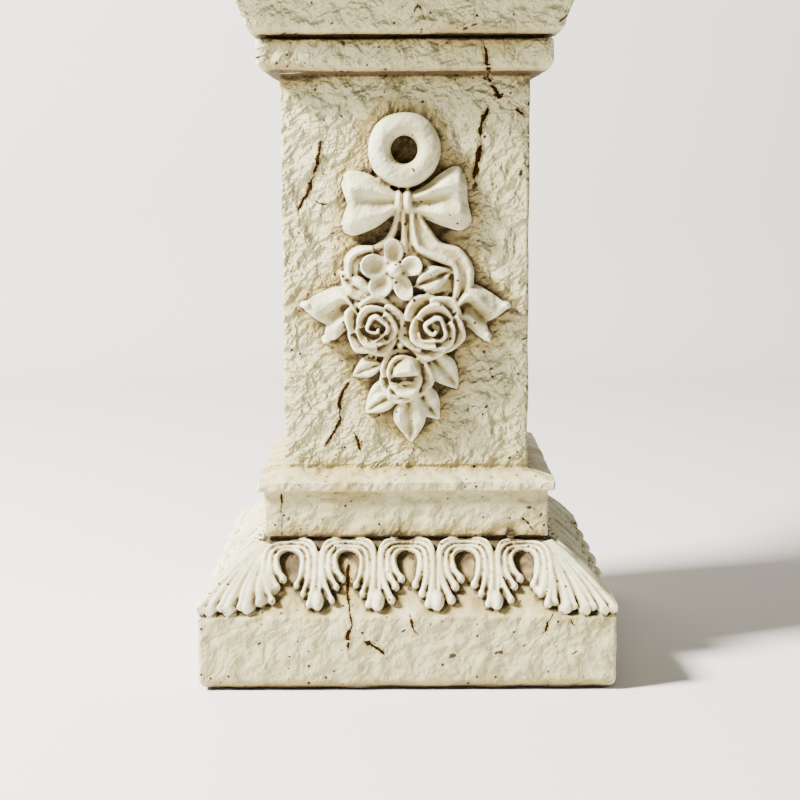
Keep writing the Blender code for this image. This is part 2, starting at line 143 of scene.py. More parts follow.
body = bmesh.new()
levels = [square_ring(half, up) for half, up in tier_outline]
bmesh.ops.create_circle(body, segments=len(levels[0]), radius=foot_half, cap_ends=True)
for vert, place in zip(list(body.verts), levels[0]):
    vert.co = place
rim = list(body.edges)
for below, level in zip(levels, levels[1:]):
    grown = bmesh.ops.extrude_edge_only(body, edges=rim)["geom"]
    for vert in (g for g in grown if isinstance(g, bmesh.types.BMVert)):
        nearest = min(range(len(below)), key=lambda i: (vert.co - below[i]).length_squared)
        vert.co = level[nearest]
    rim = [g for g in grown if isinstance(g, bmesh.types.BMEdge) and g.is_boundary]
bmesh.ops.contextual_create(body, geom=rim)
bmesh.ops.recalc_face_normals(body, faces=body.faces[:])


# The border of leaves on the slope.
# Each side has five horseshoe leaves. Their strands part at the crown, run down both legs and
# curl into the opening one after another, and the outermost ones meet in a bulb.
slope_run = foot_half - slope_top_half
slope_rise = slope_top - slope_foot
slope_length = math.hypot(slope_run, slope_rise)
inward = slope_run / slope_length
upward = slope_rise / slope_length
arch_pitch = 22.8
arches = 5


def on_slope(a, b, h):
    """A place on the front slope: across, up the slope and standing out from it, in millimetres."""
    out = foot_half + (h * upward - b * inward) * MM
    return Vector((a * MM, -out, slope_foot + (b * upward + h * inward) * MM))


def on_hip(a, b, h):
    """The same for the corner at +X: 0 across is the hip, and the leaf folds over along it."""
    out = foot_half + (h * upward - b * inward) * MM
    up = slope_foot + (b * upward + h * inward) * MM
    return Vector((out + min(a, 0.0) * MM, -out + max(a, 0.0) * MM, up))


def curve_point(points, share):
    """The point a share of the way along a smooth curve through these points."""
    last = len(points) - 1
    place = min(max(share, 0.0), 1.0) * last
    i = min(int(place), last - 1)
    f = place - i
    p0, p1, p2, p3 = (Vector(points[min(max(k, 0), last)]) for k in (i - 1, i, i + 1, i + 2))
    bend = p0 - p1 * 2.5 + p2 * 2 - p3 / 2
    turn = (p3 - p0) / 2 + (p1 - p2) * 1.5
    return p1 + (p2 - p0) / 2 * f + bend * f ** 2 + turn * f ** 3


def row_value(row, share):
    """A value between the values of a row, eased from one to the next."""
    place = min(max(share, 0.0), 1.0) * (len(row) - 1)
    i = min(int(place), max(len(row) - 2, 0))
    f = place - i
    return row[i] + (row[min(i + 1, len(row) - 1)] - row[i]) * f * f * (3 - 2 * f)


touching = 0.01 * MM


def lay_in(relief, bm):
    """Adds a closed form to the relief, with its normals out, and frees it."""
    bmesh.ops.recalc_face_normals(bm, faces=bm.faces[:])
    piece = bpy.data.meshes.new("piece")
    bm.to_mesh(piece)
    bm.free()
    relief.from_mesh(piece)
    bpy.data.meshes.remove(piece)


def press(relief, form, carrier, along, across, sink=3.0):
    """Adds a closed raised form. form(s, t) gives its place and height for s and t from 0 to 1,
    and its back lies this deep in the wall."""
    bm = bmesh.new()
    bmesh.ops.create_grid(bm, x_segments=along, y_segments=across, size=1.0)
    grown = bmesh.ops.extrude_face_region(bm, geom=bm.faces[:])["geom"]
    front = {g for g in grown if isinstance(g, bmesh.types.BMVert)}
    for vert in bm.verts:
        a, b, h = form((vert.co.x + 1) / 2, (vert.co.y + 1) / 2)
        vert.co = carrier(a, b, h if vert in front else -sink)
    bmesh.ops.remove_doubles(bm, verts=bm.verts[:], dist=touching)
    lay_in(relief, bm)


def strand(relief, points, widths, heights, carrier, along=20, across=6, crown=0.45):
    """A raised strip with a round back along a curve, with its widths and heights along it."""
    def form(s, t):
        here = curve_point(points, s)
        ahead = curve_point(points, s + 0.01) - curve_point(points, s - 0.01)
        side = Vector((-ahead.y, ahead.x)).normalized()
        place = here + side * (row_value(widths, s) * (t - 0.5))
        rise = row_value(heights, s) * (1 - crown + crown * math.sqrt(max(0.0, 1 - (2 * t - 1) ** 2)))
        return place.x, place.y, rise
    press(relief, form, carrier, along, across)


def boss(relief, place, radii, carrier, segments=24):
    """Adds an egg-shaped boss, with its place and radii in millimetres on the carrier."""
    bm = bmesh.new()
    bmesh.ops.create_uvsphere(bm, u_segments=segments, v_segments=segments // 2, radius=1.0)
    for vert in bm.verts:
        vert.co = carrier(*(middle + radius * c for middle, radius, c in zip(place, radii, vert.co)))
    lay_in(relief, bm)


arch = bmesh.new()
arch_strands = (
    [(1.0, 29.3), (-2.5, 28.7), (-4.7, 26.2), (-5.0, 22.8), (-4.2, 19.0), (-2.0, 15.8)],
    [(0.5, 31.1), (-4.0, 30.2), (-6.7, 27.6), (-7.4, 23.2), (-6.8, 17.4), (-4.3, 12.2)],
    [(0.0, 33.0), (-5.2, 32.0), (-8.6, 29.0), (-9.8, 24.0), (-9.0, 14.4), (-5.9, 6.4)],
    [(-1.0, 29.3), (2.5, 28.7), (4.8, 26.2), (5.3, 22.4), (4.9, 17.6), (3.3, 13.2)],
    [(-0.5, 31.1), (4.0, 30.2), (6.8, 27.6), (7.7, 22.8), (7.6, 15.8), (5.9, 9.2)],
    [(0.0, 33.0), (5.2, 32.0), (8.7, 29.0), (10.0, 23.4), (9.9, 13.2), (8.2, 4.6)],
)
for points in arch_strands:
    strand(arch, points, (1.4, 1.9, 2.4, 3.3, 2.7), (1.8, 3.0, 3.4, 3.3), on_slope, along=28, across=8,
           crown=0.74)
    boss(arch, (*points[-1], 0.8), (1.7, 1.9, 2.5), on_slope, 12)
bulb = bmesh.new()
boss(bulb, (0.0, 6.2, 0.8), (3.0, 4.6, 3.2), on_slope, 16)
boss(bulb, (4.5, 8.2, 0.4), (1.3, 2.5, 2.2), on_slope, 12)
for side in (-1, 1):
    leg = [(side * 11.6, 34.2), (side * 4.2, 33.2), (side * 1.2, 28.0), (side * 0.95, 15.0),
           (side * 0.9, 8.0)]
    strand(bulb, leg, (1.0, 1.8, 2.0, 2.0, 1.8), (0.8, 2.8, 3.4, 2.8), on_slope, along=28, across=8,
           crown=0.78)
bulb_mesh = bpy.data.meshes.new("bulb")
bulb.to_mesh(bulb_mesh)
arch_mesh = bpy.data.meshes.new("arch")
arch.to_mesh(arch_mesh)
side_relief = bmesh.new()
for number in range(arches):
    for mesh, shift in ((arch_mesh, 0.0), (bulb_mesh, -arch_pitch / 2)):
        if mesh is bulb_mesh and number == 0:
            continue
        first = len(side_relief.verts)
        side_relief.from_mesh(mesh)
        side_relief.verts.ensure_lookup_table()
        across = ((number - (arches - 1) / 2) * arch_pitch + shift) * MM
        bmesh.ops.translate(side_relief, verts=side_relief.verts[first:], vec=(across, 0, 0))


# The leaves over the corners of the slope.
# A broader leaf is folded over each hip. Its fingers fan out from the top, each with a groove on
# either side, and end in round tips along the foot.
finger_tips = ((1.3, 2.2), (4.9, 1.4), (8.5, 3.4), (12.0, 1.6), (15.6, 3.8), (18.8, 2.4), (21.4, 5.6),
               (22.2, 10.0))
for side in (-1, 1):
    for number, (tip_across, tip_up) in enumerate(finger_tips):
        start_across, start_up = 0.6 + 0.95 * number, 33.4 - 0.3 * number
        points = [(side * start_across, start_up)]
        for down, out in ((0.33, 0.24), (0.67, 0.60), (1.0, 1.0)):
            across = start_across + (tip_across - start_across) * out
            points.append((side * across, start_up + (tip_up - start_up) * down))
        strand(side_relief, points, (1.2, 1.9, 2.7, 3.7, 2.9), (1.8, 2.9, 3.4, 3.2), on_hip, along=28,
               across=8, crown=0.74)
        boss(side_relief, (*points[-1], 0.8), (1.8, 2.0, 2.4), on_hip, 12)
border_side = bpy.data.meshes.new("border_side")
side_relief.to_mesh(border_side)
relief = bmesh.new()
for side in range(4):
    first = len(relief.verts)
    relief.from_mesh(border_side)
    relief.verts.ensure_lookup_table()
    turn = Matrix.Rotation(math.radians(90 * side), 3, "Z")
    bmesh.ops.rotate(relief, verts=relief.verts[first:], cent=(0, 0, 0), matrix=turn)


# The ring and the bow at the head of the drop.
# A round ring stands off the shaft's front, its hole blind. A ribbon is tied under it in a knot
# with two loops, each a hollow fold with a rolled rim above and below.
def on_front(a, z, h):
    """A place on the shaft's front: across, above the ground and standing out, in millimetres."""
    return Vector((a * MM, -shaft_half - h * MM, z * MM))


def panel(relief, low, high, rows, carrier, along=28, across=20, notch=0.0):
    """A raised sheet between two edges. Each row gives its heights from the low edge to the high
    one, and the rows follow each other along it. A notch cuts a V into its far end."""
    root = (Vector(low[0]) + Vector(high[0])) / 2

    def form(s, t):
        place = curve_point(low, s).lerp(curve_point(high, s), t)
        back = (root - place).normalized()
        place += back * (notch * (1 - abs(2 * t - 1)) * s ** 3)
        rise = row_value([row_value(row, t) for row in rows], s)
        return place.x, place.y, rise
    press(relief, form, carrier, along, across)


ring_across, ring_up = -0.3, 204.6
ring_bm = bmesh.new()
section = bmesh.ops.create_circle(ring_bm, segments=24, radius=4.5)["verts"]
bmesh.ops.rotate(ring_bm, verts=section, cent=(0, 0, 0), matrix=Matrix.Rotation(math.radians(90), 3, "X"))
bmesh.ops.translate(ring_bm, verts=section, vec=(9.6, 0, 0))
bmesh.ops.spin(ring_bm, geom=ring_bm.verts[:] + ring_bm.edges[:], cent=(0, 0, 0), axis=(0, 0, 1),
               dvec=(0, 0, 0), angle=math.radians(360), steps=72, use_merge=True, use_duplicate=False)
for vert in ring_bm.verts:
    vert.co = on_front(ring_across + vert.co.x, ring_up + vert.co.y * 1.03, 2.8 + vert.co.z)
lay_in(relief, ring_bm)
boss(relief, (-2.6, 184.8, 1.0), (2.2, 5.3, 4.8), on_front)
boss(relief, (0.9, 184.9, 1.2), (2.4, 5.5, 5.4), on_front)
loop_rows = [
    (3.4, 5.0, 4.0, 5.0, 3.4),
    (3.0, 6.4, 3.4, 6.2, 2.8),
    (2.8, 7.2, 4.2, 6.8, 2.8),
    (2.8, 6.8, 5.6, 6.6, 2.6),
    (0.6, 3.0, 3.4, 2.8, 0.6),
]
for side in (-1, 1):
    fold = [(side * 3.0, 185.8), (side * 8.0, 186.4), (side * 14.0, 187.6)]
    strand(relief, fold, (1.4, 2.2, 1.2), (4.6, 4.6, 3.0), on_front, crown=0.7)
    fold = [(side * 3.0, 183.6), (side * 8.4, 182.4), (side * 15.6, 181.6)]
    strand(relief, fold, (1.4, 1.9, 1.0), (4.4, 4.4, 3.0), on_front, crown=0.7)
panel(relief, [(-3.2, 181.0), (-9.8, 176.0), (-15.7, 173.4), (-21.0, 172.2), (-25.6, 174.4)],
      [(-3.2, 188.4), (-9.2, 193.0), (-15.0, 196.0), (-21.5, 197.0), (-25.6, 193.6)],
      loop_rows, on_front, notch=3.4)
panel(relief, [(2.4, 180.4), (9.0, 177.7), (15.0, 175.6), (21.0, 174.0), (25.8, 176.2)],
      [(2.4, 188.6), (8.0, 191.9), (14.0, 196.2), (19.8, 198.6), (23.8, 194.8)],
      loop_rows, on_front, notch=0.6)


# The streamers and the swallow tails.
# Below the knot the ribbon's ends run down as raised folds, behind the flower on the left and in
# a wide bend on the right, and come out beside the roses as two forked tails.
strand(relief, [(-2.4, 183.0), (-4.2, 174.8), (-6.9, 170.2), (-13.0, 166.0)], (2.4, 3.6, 3.4),
       (4.4, 4.2, 3.0), on_front)
strand(relief, [(-0.6, 183.0), (-0.5, 171.0), (0.1, 162.0)], (2.4, 3.2, 3.0), (4.6, 4.4, 4.0), on_front)
strand(relief, [(1.2, 182.0), (1.7, 171.0), (2.4, 163.0)], (1.6, 1.8, 1.6), (4.0, 3.4, 3.0), on_front)
inner_fold = [(2.6, 182.0), (3.5, 171.8), (6.2, 166.5), (13.2, 163.4), (19.0, 160.4), (20.2, 154.0),
              (18.8, 146.8)]
outer_fold = [(4.0, 182.0), (8.7, 173.4), (13.3, 168.0), (20.1, 165.8), (24.2, 160.8), (24.6, 154.0),
              (22.4, 146.8)]
strand(relief, inner_fold, (2.8, 3.6, 4.0, 3.6), (5.2, 5.8, 5.8, 5.0), on_front, along=36)
strand(relief, outer_fold, (2.4, 3.2, 3.8, 3.4), (4.6, 4.6, 5.0, 4.2), on_front, along=36)
panel(relief, inner_fold, outer_fold, [(4.4, 3.8, 4.0), (5.0, 4.3, 4.2), (4.4, 3.4, 3.6)], on_front, along=36)
left_curl = [(-12.6, 168.4), (-19.0, 167.6), (-23.4, 163.4), (-23.6, 155.6)]
left_curl_inside = [(-12.0, 163.8), (-16.4, 162.8), (-18.6, 159.8), (-18.4, 155.2)]
panel(relief, left_curl, left_curl_inside, [(3.2, 5.6, 4.0, 4.6), (3.2, 5.8, 3.8, 4.6), (2.8, 4.8, 3.6, 3.8)],
      on_front)
tail_rows = [
    (2.6, 6.2, 2.4, 4.4, 2.0),
    (2.4, 7.2, 2.0, 5.0, 2.0),
    (2.4, 6.4, 1.6, 4.8, 2.6),
    (2.8, 4.6, 1.4, 3.4, 4.2),
    (3.4, 3.8, 1.6, 2.8, 4.6),
]
panel(relief, [(17.6, 144.0), (24.4, 153.0), (32.6, 150.2), (40.6, 144.6)],
      [(18.4, 135.0), (22.6, 137.0), (28.1, 133.0), (32.8, 130.8)], tail_rows, on_front, notch=5.4)
panel(relief, [(-17.0, 141.0), (-24.0, 152.2), (-33.0, 150.4), (-41.0, 145.2)],
      [(-17.0, 133.0), (-21.6, 136.0), (-26.9, 132.0), (-32.4, 129.8)], tail_rows, on_front, notch=5.4)
for place, radii in (
    ((-38.6, 145.4, 1.0), (2.9, 1.9, 3.6)),
    ((-31.0, 132.0, 1.0), (2.2, 2.2, 3.4)),
    ((38.4, 144.9, 1.0), (2.9, 1.9, 3.8)),
    ((31.4, 133.0, 1.0), (2.0, 2.2, 3.6)),
):
    boss(relief, place, radii, on_front, 16)


# The small flower and its leaves.
# Under the knot sits a five-petalled flower with a round heart. Its petals are little hollowed
# cups, and pointed leaves lie flat on the shaft beside it.
def saucer(relief, place, radii, turn, rim, dish, lean=(0.0, 0.0), roll=0.8, steps=14):
    """A round petal with a hollow face. Its rim and the depth of its dish are in millimetres, and
    lean raises its own far end and its right side."""
    turn = Matrix.Rotation(math.radians(turn), 2)

    def form(s, t):
        u, v = 2 * s - 1, 2 * t - 1
        disc = Vector((u * math.sqrt(1 - v * v / 2), v * math.sqrt(1 - u * u / 2)))
        reach = disc.length
        spot = turn @ Vector((disc.x * radii[0], disc.y * radii[1]))
        rise = rim - dish * (1 - reach * reach) + lean[0] * disc.x + lean[1] * disc.y
        rise -= roll * max(0.0, (reach - 0.82) / 0.18) ** 2
        return place[0] + spot.x, place[1] + spot.y, rise
    press(relief, form, on_front, steps, steps)


def blade(relief, base, tip, width, heights, bend=0.0, sunk=0.34):
    """A pointed leaf with its midrib sunk between two swelling halves, and crisp thin edges."""
    base, tip = Vector(base), Vector(tip)
    side = Vector((base.y - tip.y, tip.x - base.x)).normalized()
    spread = (0.10, 0.72, 1.0, 0.92, 0.55, 0.0)
    middle = [base.lerp(tip, i / 5) + side * (bend * math.sin(math.pi * i / 5)) for i in range(6)]
    low = [place - side * (width / 2 * share) for place, share in zip(middle, spread)]
    high = [place + side * (width / 2 * share) for place, share in zip(middle, spread)]
    start, full, end = heights
    section = (0.78, 1.0, 0.94, 1 - sunk, 0.94, 1.0, 0.78)
    root = (start * 0.8, start, start * 0.8)
    halves = [full * share for share in section]
    near_tip = [end * share for share in section]
    panel(relief, low, high, [root, halves, halves, near_tip, (end * 0.7,)], on_front, 20, 18)


boss(relief, (-3.0, 159.0, -4.0), (18.0, 14.0, 8.8), on_front)
for place, radii, direction, dish in (
    ((-4.7, 166.2), (5.0, 3.9), 95, 2.2),
    ((-12.0, 160.4), (5.4, 4.8), 171, 2.4),
    ((-9.6, 153.0), (5.0, 4.4), 228, 2.0),
    ((-1.0, 152.4), (5.4, 3.7), 294, 1.8),
    ((2.4, 160.4), (4.2, 4.0), 14, 1.8),
):
    saucer(relief, place, radii, direction, 6.9, dish, lean=(1.3, 0.3))
boss(relief, (-4.1, 159.1, 5.2), (3.0, 3.1, 4.0), on_front)
boss(relief, (14.0, 152.5, -4.0), (8.0, 9.0, 8.0), on_front)
boss(relief, (-16.8, 160.6, -3.0), (5.6, 6.0, 7.0), on_front)
blade(relief, (-12.6, 147.4), (-25.6, 158.6), 9.4, (4.8, 5.8, 4.0), bend=1.0)
blade(relief, (-12.0, 144.8), (-24.8, 149.6), 7.4, (4.4, 5.4, 3.6), bend=-0.6)
blade(relief, (3.2, 152.4), (18.4, 158.8), 9.8, (5.0, 6.8, 5.2))
blade(relief, (6.0, 148.0), (18.2, 151.4), 6.6, (4.6, 5.8, 4.4), bend=-0.5)


# The roses.
# Two open roses sit side by side. Each has a swirl of one long petal in two rows of hollow petals
# with thin rims, which lap over one another and stand highest at the middle.
def petal_row(relief, centre, radius, turn, rim, row):
    """A row of petals round a middle. It has a petal count, its inner and outer reach as shares of
    the radius, how far it stands above the rim, and the degrees that one petal sweeps."""
    count, inner, outer, rise, sweep = row
    lip = 0.88
    for petal in range(count):
        start = turn + 360 * petal / count + 8 * math.sin(2.3 * petal + rise)

        def form(s, t):
            a = math.radians(start + sweep * s)
            point = 0.08 * max(0.0, 1 - abs(s - 0.55) / 0.2)
            edge = outer * (0.80 + 0.17 * math.sin(math.pi * s) ** 0.7 + point)
            reach = radius * (inner + (edge - inner) * t)
            tucked = 3.0 * (1 - s) ** 2 + 0.4 * s ** 4
            hollow = 4.8 * max(0.0, 1 - t / lip) ** 1.25
            rolled = 1.2 * max(0.0, (t - lip) / (1 - lip)) ** 2
            spot = (centre[0] + reach * math.cos(a), centre[1] + reach * math.sin(a))
            return (*spot, rim + rise - tucked - hollow - rolled)
        press(relief, form, on_front, 22, 14)


def rose(relief, centre, radius, turn, rim):
    """An open rose: two rows of petals round a swirl."""
    rows = ((5, 0.38, 1.04, 0.0, 100), (3, 0.26, 0.74, 1.8, 150))
    for number, row in enumerate(rows):
        middle = (centre[0] + 0.04 * radius * number, centre[1] - 0.03 * radius * number)
        petal_row(relief, middle, radius, turn, rim, row)
        turn += 180 / row[0] + 17
    swirl = []
    for step in range(19):
        a = math.radians(turn + 27 * step)
        reach = radius * (0.47 - 0.020 * step) * (1 + 0.13 * math.sin(math.radians(97 * step)))
        swirl.append((middle[0] + reach * math.cos(a), middle[1] + reach * math.sin(a)))
    boss(relief, (*middle, 0.0), (radius * 0.44, radius * 0.44, rim + 0.6), on_front)
    strand(relief, swirl, (0.9, 2.1, 2.3, 2.0, 1.7), (rim + 0.4, rim + 2.4, rim + 3.2, rim + 3.5), on_front,
           along=90, crown=0.22)


boss(relief, (-1.0, 147.0, -4.0), (17.0, 8.0, 8.6), on_front)
rose(relief, (-12.3, 137.4), 11.6, 100, 7.6)
rose(relief, (10.2, 137.0), 12.9, 66, 8.0)
boss(relief, (-2.1, 130.1, 3.0), (1.7, 2.0, 4.4), on_front)


# The half-open rose at the foot of the drop.
# It hangs face down under the other two: its petals wrap a hooded heart, whose mouth is a dark
# slot over two small lower lips.
boss(relief, (-1.0, 125.0, -4.0), (13.0, 8.0, 9.0), on_front)
boss(relief, (-0.3, 117.4, 0.0), (7.0, 8.2, 5.4), on_front)
petal_row(relief, (-0.4, 117.8), 10.8, 35, 7.0, (3, 0.36, 1.04, 0.0, 150))
petal_row(relief, (-0.4, 118.2), 10.8, 12, 7.0, (2, 0.20, 0.76, 2.0, 176))
panel(relief, [(-6.2, 117.8), (-3.4, 117.5), (1.0, 117.9), (4.4, 118.1), (6.0, 118.6)],
      [(-5.8, 119.6), (-3.6, 123.6), (1.4, 125.8), (5.0, 123.2), (6.0, 119.8)],
      [(6.4, 6.8), (9.2, 11.0, 9.8, 6.4), (10.0, 12.0, 10.8, 7.0), (9.2, 11.0, 9.6, 6.6), (6.4, 6.8)],
      on_front)
saucer(relief, (0.2, 112.8), (5.0, 3.3), 0, 7.8, 2.0, lean=(0.0, -0.9))
saucer(relief, (-4.0, 112.4), (3.2, 3.2), 30, 7.2, 2.2)


# The leaves under the roses.
# Seven pointed leaves spread out from behind the roses, the lowest and longest hanging straight
# down, each with its midrib pressed in.
for base, tip, width, heights, bend in (
    ((-11.0, 127.0), (-20.9, 118.0), 5.6, (4.0, 3.8, 2.8), 0.8),
    ((-9.0, 122.4), (-21.2, 117.2), 7.0, (4.6, 4.8, 3.4), -0.6),
    ((-6.0, 117.4), (-16.4, 104.2), 9.6, (4.6, 4.6, 3.4), 1.4),
    ((-2.4, 110.8), (-16.2, 102.8), 8.0, (4.8, 5.8, 4.2), -0.8),
    ((0.7, 110.6), (2.1, 90.9), 12.6, (4.8, 5.4, 3.8), 0.0),
    ((4.2, 114.6), (13.0, 100.3), 11.2, (4.8, 5.4, 3.8), -0.8),
    ((7.6, 126.6), (20.8, 111.6), 11.0, (4.6, 5.0, 3.4), 1.0),
):
    blade(relief, base, tip, width, heights, bend)


# The fused casting.
# Body and relief came out of the mould as one skin, so the forms are fused and softened here, and
# a slight unevenness is left in the walls. It then stands for the CAD solid.
casting_mesh = bpy.data.meshes.new("casting")
relief_mesh = bpy.data.meshes.new("relief")
relief.to_mesh(relief_mesh)
body.from_mesh(relief_mesh)
body.to_mesh(casting_mesh)
casting = bpy.data.objects.new("carved_casting", casting_mesh)
bpy.context.scene.collection.objects.link(casting)
finest_form = 0.37 * MM
fuse = casting.modifiers.new("fuse", "REMESH")
fuse.mode = "VOXEL"
fuse.voxel_size = finest_form
soften = casting.modifiers.new("soften", "SMOOTH")
soften.factor = 0.5
soften.iterations = 1
wander = bpy.data.textures.new("uneven wall", "CLOUDS")
wander.noise_scale = 13 * MM
wander.noise_depth = 0
uneven = casting.modifiers.new("uneven", "DISPLACE")
uneven.texture = wander
uneven.texture_coords = "LOCAL"
uneven.strength = 0.8 * MM
uneven.mid_level = 0.7


def bake_modifiers(thing):
    """Puts the modifiers' result into the piece's own mesh."""
    graph = bpy.context.evaluated_depsgraph_get()
    result = bpy.data.meshes.new_from_object(thing.evaluated_get(graph))
    thing.modifiers.clear()
    thing.data = result


thinnest = 0.04 * MM


def take_out_slivers(bm):
    """Takes out edges and faces that are thinner than this, and leaves triangles only."""
    for _ in range(3):
        bmesh.ops.dissolve_degenerate(bm, dist=thinnest, edges=bm.edges[:])
        bmesh.ops.triangulate(bm, faces=[f for f in bm.faces if len(f.verts) > 3])


def split_long_edges(mesh, longest, marked):
    """Halves the edges over this length that touch a marked vertex, and leaves triangles."""
    bm = bmesh.new()
    bm.from_mesh(mesh)
    long_edges = [e for e in bm.edges if e.calc_length() > longest
                  and any(marked[v.index] for v in e.verts)]
    bmesh.ops.subdivide_edges(bm, edges=long_edges, cuts=1)
    bmesh.ops.triangulate(bm, faces=[f for f in bm.faces if len(f.verts) > 3])
    take_out_slivers(bm)
    bm.to_mesh(mesh)
    bm.free()
    mesh.update()


bake_modifiers(casting)
most_triangles = 186000
thin = casting.modifiers.new("thin", "DECIMATE")
thin.ratio = min(1.0, most_triangles / (2 * len(casting.data.polygons)))
bake_modifiers(casting)

# Slivers and the bubbles that the fusing leaves inside are taken out, and nothing stands past the
# solid's box.
skin_bm = bmesh.new()
skin_bm.from_mesh(casting.data)
for vert in skin_bm.verts:
    vert.co = [min(max(value, low), high) for value, low, high in zip(vert.co, *cad_box)]
take_out_slivers(skin_bm)
seen = set()
islands = []
for first in skin_bm.verts:
    if first in seen:
        continue
    seen.add(first)
    island = [first]
    for vert in island:
        for edge in vert.link_edges:
            other = edge.other_vert(vert)
            if other not in seen:
                seen.add(other)
                island.append(other)
    islands.append(island)
islands.sort(key=len)
bubbles = [vert for island in islands[:-1] for vert in island]
bmesh.ops.delete(skin_bm, geom=bubbles, context="VERTS")
skin_bm.to_mesh(casting.data)
skin_bm.free()
casting.data.update()


# The cracks.
# The skin has dried and moved over the years. Fine cracks wander over the shaft, the band, the
# die and the foot on the front, and a few more over the other sides.
crack_routes = [
    (0, 0.50, [(-32.3, 209.3), (-33.8, 199.4), (-37.4, 189.1), (-42.0, 180.3)]),
    (0, 0.18, [(-35.8, 186.8), (-33.1, 184.2), (-27.4, 183.8)]),
    (0, 0.50, [(29.3, 246.0), (31.6, 231.9), (37.6, 222.8), (45.3, 217.9), (46.1, 216.0)]),
    (0, 0.62, [(31.9, 221.6), (28.6, 212.5), (29.0, 208.8)]),
    (0, 0.64, [(29.6, 207.0), (27.9, 200.8), (26.5, 192.8)]),
    (0, 0.40, [(35.3, 191.7), (34.6, 189.0)]),
    (0, 0.40, [(-21.6, 115.8), (-25.1, 109.5), (-26.3, 106.7), (-25.6, 99.5), (-32.7, 88.8)]),
    (0, 0.40, [(-21.6, 96.0), (-18.9, 91.6), (-17.7, 86.0)]),
    (0, 0.16, [(24.3, 105.7), (24.3, 99.8)]),
    (0, 0.30, [(-48.8, 73.0), (-48.6, 61.0), (-48.9, 52.6)]),
    (0, 0.22, [(-31.6, 63.1), (-33.2, 60.7)]),
    (0, 0.34, [(44.0, 63.4), (49.9, 56.6)]),
    (0, 0.40, [(-22.8, 46.5), (-22.8, 37.2), (-20.7, 25.7), (-22.8, 21.0), (-22.0, 12.2)]),
    (0, 0.62, [(-16.9, 20.2), (-12.6, 17.4), (-8.4, 14.0)]),
    (0, 0.40, [(0.8, 30.1), (2.0, 25.4), (4.6, 21.5)]),
    (0, 0.36, [(56.0, 30.8), (53.4, 26.5), (51.6, 21.7)]),
    (0, 0.24, [(61.0, 28.8), (64.1, 24.1)]),
    (0, 0.20, [(1.5, 252.2), (4.8, 258.1), (7.8, 251.5)]),
    (1, 0.34, [(-20.0, 218.0), (-23.0, 204.0), (-21.0, 190.0), (-27.0, 176.0)]),
    (1, 0.28, [(18.0, 104.0), (14.0, 94.0), (17.0, 84.0)]),
    (1, 0.36, [(33.0, 40.0), (36.0, 29.0), (33.0, 14.0)]),
    (2, 0.36, [(8.0, 244.0), (10.0, 228.0), (4.0, 214.0), (7.0, 196.0)]),
    (2, 0.30, [(-26.0, 130.0), (-22.0, 116.0), (-28.0, 100.0)]),
    (2, 0.30, [(-40.0, 38.0), (-44.0, 27.0), (-41.0, 12.0)]),
    (3, 0.34, [(22.0, 200.0), (27.0, 184.0), (23.0, 170.0), (28.0, 158.0)]),
    (3, 0.28, [(-18.0, 96.0), (-24.0, 88.0), (-22.0, 82.0)]),
    (3, 0.34, [(14.0, 66.0), (19.0, 57.0)]),
]
chance = np.random.default_rng(7)

# In millimetres: how far to each side a crack colours the skin and the mesh is split for it, what
# stands for no crack near, how far round a route is looked at, and how a route tapers and turns.
crack_reach = 1.7
split_reach = 2.0
far_aside = 9.0
margin = 3
taper_length = 2.5
corner_spacing = 2.2
corner_throw = 0.45


def jagged(points):
    """The same route with a corner every two millimetres or so, thrown a little to one side."""
    route = [np.array(points[0])]
    for start, end in zip(points, points[1:]):
        start, end = np.array(start), np.array(end)
        length = np.linalg.norm(end - start)
        parts = max(1, round(length / corner_spacing))
        aside = np.array((start[1] - end[1], end[0] - start[0])) / length
        for part in range(1, parts + 1):
            throw = chance.uniform(-corner_throw, corner_throw) if part < parts else 0.0
            route.append(start + (end - start) * part / parts + aside * throw)
    return np.array(route)


jagged_routes = [(side, half, jagged(points)) for side, half, points in crack_routes]


def vertex_vectors(mesh, name):
    """The places or the normals of a mesh's vertices, one row each."""
    values = np.empty(len(mesh.vertices) * 3)
    mesh.vertices.foreach_get(name, values)
    return values.reshape(-1, 3)


def crack_field(mesh):
    """For each vertex, how far it lies to one side of the nearest crack and half that crack's
    width there, both in millimetres. The width is nothing beyond the ends and away from cracks."""
    places = vertex_vectors(mesh, "co") / MM
    normals = vertex_vectors(mesh, "normal")
    aside = np.full(len(places), far_aside)
    width = np.zeros(len(places))
    for side, half, route in jagged_routes:
        turn = math.radians(90 * side)
        across = places[:, 0] * math.cos(turn) + places[:, 1] * math.sin(turn)
        facing = normals[:, 0] * math.sin(turn) - normals[:, 1] * math.cos(turn)
        spot = np.stack((across, places[:, 2]), axis=1)
        inside = (spot > route.min(0) - margin).all(1) & (spot < route.max(0) + margin).all(1)
        near = np.flatnonzero((facing > 0.2) & inside)
        if not len(near):
            continue
        lengths = np.linalg.norm(np.diff(route, axis=0), axis=1)
        before = 0.0
        for start, end, length in zip(route, route[1:], lengths):
            along = (end - start) / length
            offset = spot[near] - start
            share = np.clip(offset @ along, 0.0, length)
            gap = offset - share[:, None] * along
            distance = np.linalg.norm(gap, axis=1)
            signed = distance * np.where(along[0] * gap[:, 1] - along[1] * gap[:, 0] < 0, -1.0, 1.0)
            place = before + share
            taper = np.minimum(1.0, np.minimum(place, lengths.sum() - place) / taper_length)
            closer = distance < np.abs(aside[near])
            aside[near[closer]] = signed[closer]
            width[near[closer]] = (half * taper)[closer]
            before += length
    width[np.abs(aside) > crack_reach] = 0.0
    return aside, width


for finest in (2.4, 1.2):
    aside, _ = crack_field(casting.data)
    split_long_edges(casting.data, finest * MM, np.abs(aside) < split_reach)
aside, width = crack_field(casting.data)


